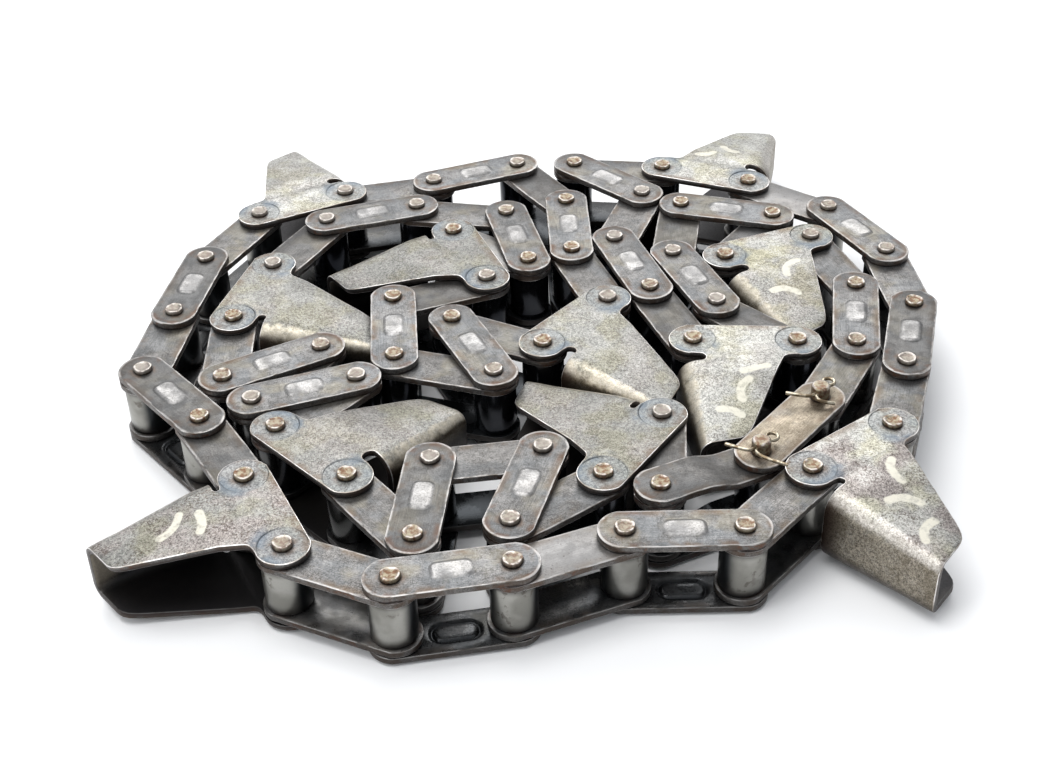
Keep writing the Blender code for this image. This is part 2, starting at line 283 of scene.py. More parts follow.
def node_for(nodes, number):
    """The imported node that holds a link: its own, or the pair that it is seized in."""
    for kind in ("lug_link", "roller_link", "pin_link", "link_pair"):
        name = f"{kind}_{number:02d}"
        if name in nodes:
            return name
    return f"link_pair_{number - 1:02d}"


def in_scene(name, data):
    made = bpy.data.objects.new(name, data)
    bpy.context.scene.collection.objects.link(made)
    return made


# Shapes

def new_shape():
    bm = bmesh.new()
    bm.loops.layers.uv.new("link")
    for name in ("tone", "wear_and_light", "hollow", "web", "out"):
        bm.verts.layers.float.new(name)
    return bm


def turn_out(bm):
    bmesh.ops.recalc_face_normals(bm, faces=bm.faces)


def round_rims(bm, level=True):
    """Rounds the sharp rims: only those that lie level, or all of them."""
    inner = [e for e in bm.edges if len(e.link_faces) == 2]
    rims = [e for e in inner if e.calc_face_angle(0) > RIM_ANGLE]
    if level:
        rims = [e for e in rims if e.verts[0].co.z == e.verts[1].co.z]
    bmesh.ops.bevel(
        bm, geom=rims, offset=RIM, offset_type="OFFSET", segments=2, profile=0.5,
        affect="EDGES", material=EDGE, clamp_overlap=False,
    )


def paint_walls(bm):
    turn_out(bm)
    bm.normal_update()
    for face in bm.faces:
        face.material_index = WALL if abs(face.normal.z) < 0.3 else FACE


def unwrap_link(bm):
    """A map in the link's own frame, in units of 100 mm; upright faces are laid out sideways."""
    layer = bm.loops.layers.uv["link"]
    for face in bm.faces:
        upright = abs(face.normal.z) < 0.5
        for loop in face.loops:
            x, y, z = loop.vert.co / MAP_UNIT
            loop[layer].uv = (x, y - z if upright else y)


def kept(bm, name):
    """The shape as a mesh that pieces copy."""
    turn_out(bm)
    unwrap_link(bm)
    mesh = bpy.data.meshes.new(name)
    bm.to_mesh(mesh)
    bm.free()
    return mesh


def round_end(centre, first, last, steps, radius=PLATE_END):
    """Points of an arc about a pin at x = centre, between two angles in degrees."""
    turns = [math.radians(blend(first, last, k / steps)) for k in range(steps + 1)]
    return [(centre + radius * math.cos(a), radius * math.sin(a)) for a in turns]


def plate_outline():
    half = math.degrees(math.asin(PLATE_HALF / PLATE_END))
    ends = round_end(PITCH, -half, half, END_STEPS)
    return ends + round_end(0, 180 - half, 180 + half, END_STEPS)


def ring_marks(core):
    """Places round a flat core, from the middle of its upper side by the left, and ways out."""
    x, y = core
    corners = ((0, y), (-x, y), (-x, -y), (x, -y), (x, y), (0, y))
    marks = []
    for k, steps in enumerate(SIDE_STEPS):
        (x1, y1), (x2, y2), turn = corners[k], corners[k + 1], 90 * (k + 1)
        for j in range(steps + 1):
            marks.append((blend(x1, x2, j / steps), blend(y1, y2, j / steps), turn))
        if k < 4:
            marks += [(x2, y2, turn + 90 * j / CORNER_STEPS) for j in range(1, CORNER_STEPS)]
    return marks[:-1]


def press_pad(vert, layers, reach):
    x, y, z = vert.co
    up = ease((PAD_FOOT - reach) / PAD_SLOPE)
    dent = 0.06 * noise.noise(Vector((x, y, 3)) * 0.35)
    vert.co.z += (PAD_RISE + dent) * up
    vert[layers["wear_and_light"]] = ease((PAD_FOOT - 0.2 - reach) / 1.2)


def press_oval(vert, layers, reach):
    away = reach - OVAL_REACH
    sunk = ease(1 - abs(away) / OVAL_SLOPES[away > 0])
    vert.co.z += OVAL_DEPTH * sunk
    vert[layers["hollow"]] = sunk


def pressed_side(bm, left, right, z, core, rings, press):
    """One face of a pressed plate: rings about its middle, and a sheet to either end's rim."""
    layers = bm.verts.layers.float
    marks = ring_marks(core)
    rows = []
    for reach in reversed(rings):
        row = []
        for x, y, turn in marks:
            a = math.radians(turn)
            place = (PITCH / 2 + x + reach * math.cos(a), y + reach * math.sin(a), z)
            vert = bm.verts.new(place)
            press(vert, layers, reach)
            row.append(vert)
        rows.append(row)
    for row, inner in zip(rows, rows[1:]):
        for k in range(len(row)):
            j = (k + 1) % len(row)
            bm.faces.new((row[k], row[j], inner[j], inner[k]))
    bm.faces.new(rows[-1])
    half = len(marks) // 2
    bm.faces.new(left + rows[0][half::-1])
    bm.faces.new(right + [rows[0][0], *rows[0][:half - 1:-1]])


def flat_plate(cuts=()):
    """A plain plate from z = 0 to its thickness, cut across at some places."""
    bm = new_shape()
    bm.faces.new([bm.verts.new((x, y, 0)) for x, y in plate_outline()])
    for x in cuts:
        geometry = bm.verts[:] + bm.edges[:] + bm.faces[:]
        bmesh.ops.bisect_plane(
            bm, geom=geometry, dist=1e-4, plane_co=(x, 0, 0), plane_no=(1, 0, 0)
        )
    grown = bmesh.ops.extrude_face_region(bm, geom=bm.faces[:])["geom"]
    top = [g for g in grown if isinstance(g, bmesh.types.BMVert)]
    bmesh.ops.translate(bm, verts=top, vec=(0, 0, PLATE))
    paint_walls(bm)
    round_rims(bm)
    return bm


def pressed_shape(name):
    """A plate with its outer face up, from z = 0, and with its pad and its oval."""
    bm = new_shape()
    outline = plate_outline()
    half = len(outline) // 2
    middle = PITCH / 2
    outline = [*outline[:half], (middle, PLATE_HALF), *outline[half:], (middle, -PLATE_HALF)]
    rims = []
    for z, core, rings, press in (
        (0, OVAL_CORE, OVAL_RINGS, press_oval), (PLATE, PAD_CORE, PAD_RINGS, press_pad)
    ):
        rim = [bm.verts.new((x, y, z)) for x, y in outline]
        left, right = rim[half:], [rim[-1], *rim[:half + 1]]
        pressed_side(bm, left, right, z, core, rings, press)
        rims.append(rim)
    for k in range(len(outline)):
        bm.faces.new((rims[0][k - 1], rims[0][k], rims[1][k], rims[1][k - 1]))
    paint_walls(bm)
    for face in bm.faces:
        x, y, _ = face.calc_center_median()
        if abs(x - middle) < PRESSED_FIELD[0] and abs(y) < PRESSED_FIELD[1]:
            face.material_index = FACE
    round_rims(bm)
    return kept(bm, name)


def cranked_shape(name):
    """The offset link's plate: it climbs from the inner plates' height to the outer ones'."""
    bm = flat_plate([blend(*CRANK, k / CRANK_STEPS) for k in range(CRANK_STEPS + 1)])
    for vert in bm.verts:
        vert.co.z += CRANK_RISE * ease((vert.co.x - CRANK[0]) / (CRANK[1] - CRANK[0]))
    return kept(bm, name)


def turned(profile, sides, slot):
    """A closed turned shape from (radius, height) points."""
    bm = new_shape()
    points = [bm.verts.new((radius, 0, z)) for radius, z in profile]
    edges = [bm.edges.new(pair) for pair in zip(points, points[1:])]
    bmesh.ops.spin(
        bm, geom=points + edges, cent=(0, 0, 0), axis=(0, 0, 1), angle=2 * math.pi,
        steps=sides, use_merge=True, use_duplicate=False,
    )
    bmesh.ops.remove_doubles(bm, verts=bm.verts, dist=1e-4)
    for face in bm.faces:
        face.smooth = True
        face.material_index = slot
    return bm


def pin_shape(name, seed, top=PIN_TOP, riveted=True):
    """A pin from its lower riveted end to its upper one, each end hammered a little differently."""
    end = [(radius, top - depth) for radius, depth in (RIVETED_END if riveted else LONG_END)]
    bm = turned([*PIN_FOOT, *end], PIN_SIDES, PIN)
    wear_and_light = bm.verts.layers.float["wear_and_light"]
    for vert in bm.verts:
        radius = vert.co.to_2d().length
        # The rim's bright ring: rubbed metal, and a painted highlight
        if vert.co.z > top - 1.0 or vert.co.z < 0.6:
            vert[wear_and_light] = ease((radius - 2.3) / 0.6) * ease((PIN_RADIUS + 0.05 - radius) / 0.2)
        if riveted and vert.co.z > top - 1.5:
            turn = math.atan2(vert.co.y, vert.co.x)
            lobes = 0.12 * math.sin(3 * turn + 2.1 * seed) + 0.08 * math.sin(4 * turn + seed)
            lobes += 0.07 * math.sin(7 * turn + 1.3 * seed)
            vert.co.x += lobes * math.cos(turn) * radius / PIN_RADIUS
            vert.co.y += lobes * math.sin(turn) * radius / PIN_RADIUS
            where = Vector((vert.co.x, vert.co.y, seed * 7.0))
            vert.co.z = min(vert.co.z + 0.14 * noise.noise(where * 0.5), top - 0.02)
    return kept(bm, name)


def roller_shape(name):
    """A roller with softened ends, from the lower inner plate to the upper one."""
    low, high = INNER_LOW + PLATE + ROLLER_GAP, INNER_HIGH - ROLLER_GAP
    lower = [(ROLLER_RADIUS - inset, low + rise) for inset, rise in ROLLER_END]
    upper = [(ROLLER_RADIUS - inset, high - rise) for inset, rise in reversed(ROLLER_END)]
    side = [*lower, (ROLLER_RADIUS, (low + high) / 2), *upper]
    profile = [(BUSH_RADIUS, low), *side, (BUSH_RADIUS, high), (BUSH_RADIUS, low)]
    return kept(turned(profile, ROLLER_SIDES, ROLLER), name)


def bush_shape(name):
    """A bush with its bore closed, as long as the inner plates' outer faces are apart."""
    radius, low, high = BUSH_RADIUS - 0.1, INNER_LOW + 0.5, INNER_HIGH + 2.0
    profile = [(0, low), (radius, low), (radius, high), (0, high)]
    return kept(turned(profile, BUSH_SIDES, ROLLER), name)


def section_between(first, second, t):
    ends = list(zip(first, second))
    web, edge = [[blend(a, b, t) for a, b in zip(*points)] for points in ends[:2]]
    return web, edge, *[blend(a, b, t) for a, b in ends[2:]]


def lug_stations(start):
    """The lug's sections, from where its bend begins to the tip, in equal steps between them."""
    first, later = LUG_SECTIONS[:2]
    t = (start - LUG_START) / (later[0][1] - LUG_START)
    sections = (section_between(first, later, t), *LUG_SECTIONS[1:])
    stations = []
    for first, second, steps in zip(sections, sections[1:], LUG_STEPS):
        stations += [section_between(first, second, k / steps) for k in range(steps)]
    return stations + [LUG_SECTIONS[-1]]


def lug_section(web, edge, closed_in, bend, low_share):
    """Points of the U's outer side from free edge to free edge, each with how far it is a fold
    and how far it is the web."""
    web, edge = Vector(web), Vector(edge)
    width = (edge - web).length
    across = (edge - web) / width
    high, low = LUG_TOP - closed_in, LUG_BOTTOM + low_share * closed_in
    turns = [math.pi / 2 * k / BEND_STEPS for k in range(BEND_STEPS + 1)]
    corner = [
        (bend - bend * math.sin(a), bend - bend * math.cos(a), math.sin(2 * a), math.sin(a))
        for a in turns
    ]
    upper = [(width, high, 0.0, 0.0), *[(w, high - d, fold, up) for w, d, fold, up in corner]]
    lower = [(w, low + high - z, 0.4 * fold, up) for w, z, fold, up in reversed(upper)]
    points = []
    for w, z, fold, up in upper + [(0.0, (low + high) / 2, 0.0, 1.0)] + lower:
        u, v = web + w * across
        points.append(((u, -v, z), fold, up))
    return points


def slot_end(u, start):
    """The round end of the slot beside the first pin's tab, up to where the bend begins at u."""
    reach = (start - SLOT_START) / 2
    across = min(max(reach, SLOT_RADIUS), WIDEST_SLOT)
    turns = [math.radians(blend(-90, 90, k / SLOT_STEPS)) for k in range(SLOT_STEPS)]
    return [(u + across * math.cos(a), start - reach + reach * math.sin(a)) for a in turns]


def lug_foot(bm, z, station):
    """One flange of the lug round its two pins, with a ring marked out about each pin."""
    (web, start), (edge, _), _, bend = station
    half = math.degrees(math.asin(PLATE_HALF / PLATE_END))
    spots = {}

    def corner(x, y):
        key = (round(x, 3), round(y, 3))
        if key not in spots:
            spots[key] = bm.verts.new((x, -y, z))
        return spots[key]

    def face(points):
        bm.faces.new([corner(*p) for p in points])

    body = [(web + bend, start), (edge, start), *FREE_CORNER]
    for centre, first, last in ((PITCH, -half, FREE_TURN), (0, TAB_TURN, 180 + half)):
        rim = round_end(centre, first, last, TAB_STEPS)
        step = round_end(centre, first, last, TAB_STEPS, STEP_RADIUS)
        rest = round_end(centre, last, first + 360, REST_STEPS, STEP_RADIUS)
        for k in range(TAB_STEPS):
            face((rim[k], rim[k + 1], step[k + 1], step[k]))
        circle = step[:-1] + rest[:-1]
        scale = COIN_RADIUS / STEP_RADIUS
        coin = [(centre + (x - centre) * scale, y * scale) for x, y in circle]
        for k in range(len(circle)):
            face((circle[k - 1], circle[k], coin[k], coin[k - 1]))
        face(coin)
        body += [rim[-1], *rest, rim[0]]
    body += slot_end(web + bend, start)
    face(body)


def lug_shape(name, low_share, start):
    """The pressed lug: a foot at each side and the U between, as one bent sheet."""
    bm = new_shape()
    layers = bm.verts.layers.float
    wear_and_light, hollow, web, out = layers["wear_and_light"], layers["hollow"], layers["web"], layers["out"]
    rows = []
    stations = lug_stations(start)
    for station in stations:
        row = []
        for place, fold, up in lug_section(*station, low_share):
            vert = bm.verts.new(place)
            vert[wear_and_light] = fold
            vert[web] = up
            row.append(vert)
        rows.append(row)
    for row, following in zip(rows, rows[1:]):
        edges = []
        for line in (row, following):
            for pair in zip(line, line[1:]):
                edges.append(bm.edges.get(pair) or bm.edges.new(pair))
        bmesh.ops.bridge_loops(bm, edges=edges)
    lug_foot(bm, LUG_TOP, stations[0])
    lug_foot(bm, LUG_BOTTOM, stations[0])
    bmesh.ops.remove_doubles(bm, verts=bm.verts, dist=2e-3)
    turn_out(bm)
    top = max(bm.faces, key=lambda f: f.calc_center_median().z)
    if top.normal.z < 0:
        bmesh.ops.reverse_faces(bm, faces=bm.faces)
    outside = {tuple(round(c, 3) for c in v.co) for v in bm.verts}
    bmesh.ops.solidify(bm, geom=bm.faces[:], thickness=LUG_SHEET)
    turn_out(bm)
    bm.normal_update()
    for vert in bm.verts:
        vert[hollow] = 0.0 if tuple(round(c, 3) for c in vert.co) in outside else 1.0
    for face in bm.faces:
        mixed = len({round(v[hollow]) for v in face.verts}) == 2
        face.material_index = WALL if mixed else FACE
    round_rims(bm, level=False)
    for vert in bm.verts:
        u, v, z = vert.co.x, -vert.co.y, vert.co.z
        vert[out] = v
        near = min(math.hypot(u, v), math.hypot(u - PITCH, v))
        on_tab = near < PLATE_END + 0.05 and beyond_tab(u, v)
        outer_side = z > LUG_TOP - 0.5 or z < LUG_BOTTOM + 0.5
        if outer_side and (near < COIN_RADIUS + 0.1 or on_tab):
            vert.co.z -= COIN_DEPTH if z > PITCH / 2 else -COIN_DEPTH
    return kept(bm, name)


def beyond_tab(u, v):
    """True on the round outer part of a tab, away from the flange."""
    if u < PITCH / 2:
        return FIRST_PRESSED[0] <= math.degrees(math.atan2(v, u)) % 360 <= FIRST_PRESSED[1]
    return SECOND_PRESSED[0] < math.degrees(math.atan2(v, u - PITCH)) < SECOND_PRESSED[1]


# Pieces

class Piece:
    """One visible piece, put together from shapes in link frames."""

    def __init__(self, name):
        self.name = name
        self.bm = new_shape()

    def add(self, mesh, matrix, tone):
        count = len(self.bm.verts)
        self.bm.from_mesh(mesh)
        self.bm.verts.ensure_lookup_table()
        made = self.bm.verts[count:]
        layer = self.bm.verts.layers.float["tone"]
        for vert in made:
            vert[layer] = tone
        bmesh.ops.transform(self.bm, matrix=matrix, verts=made)
        return made

    def light_outer_side(self, verts, centre):
        """Marks how far each point faces out of the heap: painted light on that side, painted shade
        on the side that faces in.
        """
        layer = self.bm.verts.layers.float["wear_and_light"]
        outward = (centre - HEAP_BACK).to_2d().normalized()
        for vert in verts:
            vert[layer] = (vert.co - centre).to_2d().dot(outward) / (ROLLER_RADIUS * MM)

    def finish(self, nodes, materials):
        mesh = bpy.data.meshes.new(self.name)
        self.bm.to_mesh(mesh)
        self.bm.free()
        for material in materials:
            mesh.materials.append(material)
        mesh.shade_smooth()
        mesh.set_sharp_from_angle(angle=math.radians(SHARP_ANGLE))
        made = in_scene(self.name, mesh)
        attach(made, "root")
        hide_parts(*nodes)


def plate_place(link, base, chance, face_up=True):
    """Where a plate lies, with the little tilt and play that it has on its pins."""
    play = Matrix.Rotation(math.radians(chance.uniform(-0.25, 0.25)), 4, "X")
    play = play @ Matrix.Rotation(math.radians(chance.uniform(-0.12, 0.12)), 4, "Y")
    place = link.matrix() @ Matrix.Translation((PITCH / 2, 0, base + PLATE / 2)) @ play
    if not face_up:
        place = place @ Matrix.Rotation(math.pi, 4, "X")
    return place @ Matrix.Translation((-PITCH / 2, 0, -PLATE / 2))


def pin_place(link, first, chance):
    x = 0 if first else PITCH
    turn = Matrix.Rotation(chance.uniform(0, 2 * math.pi), 4, "Z")
    return link.matrix() @ Matrix.Translation((x, 0, 0)) @ turn


# Materials

class Nodes:
    """The nodes of one material or group, with short ways to add more."""

    def __init__(self, tree):
        self.tree = tree

    def feed(self, socket, value):
        """Links a node's output to a socket, or sets the socket's own value or colour."""
        if isinstance(value, bpy.types.NodeSocket):
            self.tree.links.new(value, socket)
        else:
            socket.default_value = (*value, 1) if socket.type == "RGBA" else value

    def add(self, kind, inputs=None, **settings):
        made = self.tree.nodes.new("ShaderNode" + kind)
        for key, value in settings.items():
            setattr(made, key, value)
        for key, value in (inputs or {}).items():
            self.feed(made.inputs[key], value)
        return made.outputs

    def math(self, operation, a, b=0.0, clamp=False):
        return self.add("Math", {0: a, 1: b}, operation=operation, use_clamp=clamp)[0]

    def times(self, product, *parts):
        for part in parts:
            product = self.math("MULTIPLY", product, part)
        return product

    def length(self, a, b):
        return self.math("SQRT", self.math("ADD", self.times(a, a), self.times(b, b)))

    def ramp(self, value, low, high, start=0.0, end=1.0):
        """A smooth step from start, where the value is low, to end, where it is high."""
        limits = {"Value": value, "From Min": low, "From Max": high, "To Min": start, "To Max": end}
        return self.add("MapRange", limits, interpolation_type="SMOOTHSTEP")["Result"]

    def mix(self, base, colour, *parts):
        """A base with a colour over it, as strong as the product of the parts."""
        return self.add("Mix", {0: self.times(*parts), 6: base, 7: colour}, data_type="RGBA")[2]

    def place(self):
        return self.add("TexCoord")["Object"]

    def split(self, vector):
        return self.add("SeparateXYZ", {0: vector})

    def height(self):
        return self.split(self.place())[2]

    def link_uv(self):
        return self.add("UVMap", uv_map="link")[0]

    def attribute(self, name):
        return self.add("Attribute", attribute_name=name)["Fac"]

    def noise(self, vector, scale, detail=3.0, rough=0.55):
        look = {"Vector": vector, "Scale": scale, "Detail": detail, "Roughness": rough}
        return self.add("TexNoise", look)[0]

    def group(self, name, **values):
        return self.add("Group", values, node_tree=bpy.data.node_groups[name])

    def mottle(self, size, low=0.42, high=0.62):
        return self.group("mottle", Size=size, Low=low, High=high)["Mask"]

    def speckle(self):
        return self.group("speckle")["Mask"]

    # Darker low down and deep in the heap: oil, and painted shade
    def oiled_and_shaded(self, top, bottom, under):
        return self.group("oil_and_shade", Top=top, Bottom=bottom, Under=under)["Mask"]

    def layer(self, name, base):
        return self.group(name, Base=base)["Colour"]


def new_group(name, inputs, outputs, kind="Float"):
    """A shader node group: its nodes, and the sockets that come in and go out."""
    tree = bpy.data.node_groups.new(name, "ShaderNodeTree")
    for labels, way in ((inputs, "INPUT"), (outputs, "OUTPUT")):
        for label in labels:
            tree.interface.new_socket(label, in_out=way, socket_type="NodeSocket" + kind)
    entry = tree.nodes.new("NodeGroupInput").outputs
    return Nodes(tree), entry, tree.nodes.new("NodeGroupOutput").inputs


def mottle_group():
    """Blotches of a given size in millimetres: a mask between two noise levels."""
    n, entry, leave = new_group("mottle", ("Size", "Low", "High"), ("Mask",))
    blotches = n.noise(n.place(), n.math("DIVIDE", 1 / MM, entry["Size"]))
    n.feed(leave["Mask"], n.ramp(blotches, entry["Low"], entry["High"]))


def speckle_group():
    """Fine light and dark grains, with coarser ones among them."""
    n, _, leave = new_group("speckle", (), ("Mask",))
    fine, coarse = n.mottle(0.5, 0.32, 0.68), n.mottle(1.2, 0.34, 0.66)
    n.feed(leave["Mask"], n.math("ADD", n.times(fine, 0.62), n.times(coarse, 0.38)))


def oil_and_shade_group():
    """Where oil and dirt have gathered, with painted shade: darker low down and most towards the
    middle of the heap, and on the lowest parts everywhere as painted shade under the links above.
    Top and bottom are heights in millimetres."""
    n, entry, leave = new_group("oil_and_shade", ("Top", "Bottom", "Under"), ("Mask", "Inside"))
    place = n.place()
    x, y, z = n.split(place)
    height = n.math("ADD", z, n.times(n.noise(place, 90.0), 6 * MM))
    flat = n.add("CombineXYZ", {0: x, 1: y})[0]
    reach = n.add("VectorMath", {0: flat}, operation="LENGTH")["Value"]
    inside = n.ramp(reach, *HEAP_INSIDE)
    top, bottom = n.times(entry["Top"], MM), n.times(entry["Bottom"], MM)
    soaked_and_shaded = n.times(n.ramp(height, top, bottom), inside)
    underneath = n.times(n.ramp(height, 14 * MM, 9 * MM), entry["Under"])
    n.feed(leave["Mask"], n.math("MAXIMUM", soaked_and_shaded, underneath))
    n.feed(leave["Inside"], inside)


def link_map_group():
    """Measures in a link's own frame, in millimetres: how far in from its rim, how far from the
    nearer pin, and how far out from the pad's border."""
    n, _, leave = new_group("link_map", (), ("Inset", "Pin", "Pad"))
    x, y, _ = n.split(n.link_uv())
    along = n.math("ABSOLUTE", n.math("SUBTRACT", n.times(x, MAP_UNIT), PITCH / 2))
    across = n.math("ABSOLUTE", n.times(y, MAP_UNIT))
    past_pin = n.math("SUBTRACT", along, PITCH / 2)
    beyond = n.math("MAXIMUM", past_pin, 0.0)
    n.feed(leave["Inset"], n.math("SUBTRACT", PLATE_HALF, n.length(beyond, across)))
    n.feed(leave["Pin"], n.length(past_pin, across))
    past_pad = [n.math("SUBTRACT", far, half) for far, half in zip((along, across), PAD_BORDER)]
    n.feed(leave["Pad"], n.math("MAXIMUM", *past_pad))


def grain_group():
    """Fine rolling marks along the link, with pits, as a height."""
    n, _, leave = new_group("grain", (), ("Height", "Streak"))
    place = n.place()
    stretched = n.add("Mapping", {"Vector": n.link_uv(), "Scale": (14, 260, 1)})[0]
    streak = n.noise(stretched, 1.0, 4.0, 0.6)
    fine = n.noise(place, 1500.0, 3.0, 0.6)
    pits = n.ramp(n.noise(place, 420.0, 2.0), 0.62, 0.74)
    height = n.math("ADD", streak, n.times(fine, 0.7))
    n.feed(leave["Height"], n.math("SUBTRACT", height, n.times(pits, 0.4)))
    n.feed(leave["Streak"], streak)


def layer_group(name, paint):
    """A group that paints over a base colour."""
    n, entry, leave = new_group(name, ("Base",), ("Colour",), "Color")
    n.feed(leave["Colour"], paint(n, entry["Base"]))


def new_material(name, metallic, roughness, colour, bump=None):
    """Metallic, roughness and colour are functions of the nodes, or plain values. A bump is the
    function of its height, its strength and its distance."""
    material = bpy.data.materials.new(name)
    material.use_nodes = True
    n = Nodes(material.node_tree)
    shader = n.tree.nodes["Principled BSDF"].inputs
    for label, value in (("Base Color", colour), ("Roughness", roughness), ("Metallic", metallic)):
        n.feed(shader[label], value(n) if callable(value) else value)
    if bump:
        height, strength, distance = bump
        inputs = {"Strength": strength, "Distance": distance, "Height": height(n)}
        n.feed(shader["Normal"], n.add("Bump", inputs)[0])
    return material


def olive(value, warm):
    return (value, value * (1 - warm / 6), value * (1 - warm))


def grey(value, warm=0.0):
    return (value * (1 + warm), value, value * (1 - warm))


# Steels of the plates: pale and dark grain, brown stain, dark skin
OUTER_STEEL = (grey(0.285, 0.02), grey(0.06, 0.04), (0.13, 0.082, 0.048), grey(0.06, 0.04))
INNER_STEEL = (grey(0.275, 0.04), grey(0.055, 0.05), (0.14, 0.095, 0.058), grey(0.055, 0.05))
COVER_STEEL = ((0.5, 0.435, 0.34), (0.17, 0.145, 0.108), (0.15, 0.1, 0.062), (0.12, 0.09, 0.062))
# Near black: grease, and painted shade at the pins' feet, the rollers' ends, low down and deep in
# the heap
GREASE_AND_SHADE = (0.022, 0.019, 0.018)
SEAM_DIRT = (0.022, 0.008, 0.005)
PIN_DIRT = (0.11, 0.07, 0.045)
RUST = (0.11, 0.045, 0.022)
BURNT_RED = (0.1, 0.053, 0.033)
BLUED = (0.12, 0.15, 0.182)
PAINT_WHITE = (0.66, 0.63, 0.53)


def pin_dirt_and_shadow(n, base):
    """The brown ring where a pin's end meets its plate, and inside it a painted shadow ring at the
    pin's foot.
    """
    away = n.group("link_map")["Pin"]
    base = n.mix(base, PIN_DIRT, n.ramp(away, 6.8, 4.0), n.mottle(4.0, 0.42, 0.6), 0.6)
    # Painted shadow at the pin's foot
    return n.mix(base, GREASE_AND_SHADE, n.ramp(away, 4.5, 3.6), 0.85)


def burnt_ends(n, base):
    """Red-brown stains on the rims of the plates' ends."""
    link_map = n.group("link_map")
    rim, end = n.ramp(link_map["Inset"], 3.4, 0.6), n.ramp(link_map["Pin"], 11.0, 9.0)
    return n.mix(base, BURNT_RED, rim, end, n.mottle(8.0, 0.5, 0.6), 0.65)


def rubbed_rim(n, base):
    rim = n.ramp(n.group("link_map")["Inset"], 1.0, 0.25)
    return n.mix(base, grey(0.5, 0.04), rim, n.mottle(5.0, 0.34, 0.58), 0.6)


def seam_grime(n, base):
    """Red-black dirt where an outer plate's end lies on the inner plate under it."""
    off_seam = n.math("ABSOLUTE", n.math("SUBTRACT", n.height(), HIGH_SEAM * MM))
    near_pin = n.ramp(n.group("link_map")["Pin"], 14.0, 10.5)
    seam = n.ramp(off_seam, 0.9 * MM, 0.3 * MM)
    return n.mix(base, SEAM_DIRT, seam, near_pin, n.mottle(6.0, 0.3, 0.52), 0.92)


def pressed_pad(n, base):
    """The worn pad of an outer plate, a faint painted shadow line round it, and the groove behind
    it painted near black as shade.
    """
    # A faint painted shadow line round the pad
    border_shadow = n.ramp(n.math("ABSOLUTE", n.group("link_map")["Pad"]), 0.4, 0.05)
    base = n.mix(base, grey(0.06), border_shadow, n.mottle(5.0, 0.46, 0.58), 0.4)
    worn = n.mix(grey(0.23, 0.02), grey(0.47, 0.03), n.mottle(7.0, 0.36, 0.64))
    worn = n.mix(worn, grey(0.12, 0.05), n.mottle(0.7, 0.46, 0.62), 0.5)
    base = n.mix(base, worn, n.attribute("wear_and_light"), 0.75)
    # Painted shade: the oval groove painted near black
    return n.mix(base, grey(0.008), n.attribute("hollow"), 0.92)


def plate_steel(name, steel, under):
    pale, dark, brown, skin = steel

    def colour(n):
        base = n.mix(dark, pale, n.speckle())
        base = n.mix(base, skin, n.mottle(24.0, 0.4, 0.62), 0.35)
        base = n.mix(base, pale, n.mottle(5.5, 0.46, 0.66), 0.35)
        base = n.mix(base, (0.15, 0.168, 0.185), n.mottle(15.0, 0.44, 0.6), 0.35)
        base = n.mix(base, (0.27, 0.24, 0.17), n.mottle(17.0, 0.5, 0.64), 0.4)
        base = n.mix(base, skin, n.ramp(n.group("grain")["Streak"], 0.4, 0.66, 0.0, 0.45))
        rim = n.ramp(n.group("link_map")["Inset"], 4.5, 0.4)
        base = n.mix(base, brown, rim, n.mottle(10.0, 0.46, 0.6), 0.65)
        tone = n.attribute("tone")
        base = n.mix(base, pale, n.ramp(tone, 0.2, 0.0, 0.0, 0.5))
        base = n.mix(base, skin, n.ramp(tone, 0.2, 1.0, 0.0, 0.66))
        for layer in ("pin_dirt_and_shadow", "burnt_ends", "rubbed_rim"):
            base = n.layer(layer, base)
        base = n.mix(base, grey(0.04, 0.2), n.mottle(0.9, 0.62, 0.72), 0.7)
        if steel is OUTER_STEEL:
            base = pressed_pad(n, base)
        # Darker low down and deep in the heap: oil, and painted shade
        return n.mix(base, grey(0.03, -0.1), n.oiled_and_shaded(27.0, 21.0, under))

    def roughness(n):
        worn = n.ramp(n.mottle(6.0), 0.0, 1.0, 0.36, 0.5)
        return n.math("SUBTRACT", worn, n.times(n.oiled_and_shaded(27.0, 21.0, under), 0.15))

    marks = (lambda n: n.group("grain")["Height"], 0.3, 0.1 * MM)
    return new_material(name, 0.85, roughness, colour, marks)


def edge_steel(name, dull, bright):
    """The rubbed rims: bright where they are worn, duller in between; darker low down and deep in
    the heap (oil, and painted shade) and on the lugs' inner side (painted shade).
    """
    def colour(n):
        base = n.mix(grey(dull, 0.15), grey(bright, 0.03), n.mottle(7.0, 0.38, 0.58))
        # Oil and painted shade low down and deep in the heap; painted shade on the lugs' inner side
        base = n.mix(base, grey(0.05), n.oiled_and_shaded(27.0, 22.0, 0.6))
        return n.layer("seam_grime", n.mix(base, grey(0.04), n.attribute("hollow"), 0.85))

    return new_material(name, 0.9, 0.36, colour, (lambda n: n.mottle(1.0), 0.1, 0.1 * MM))


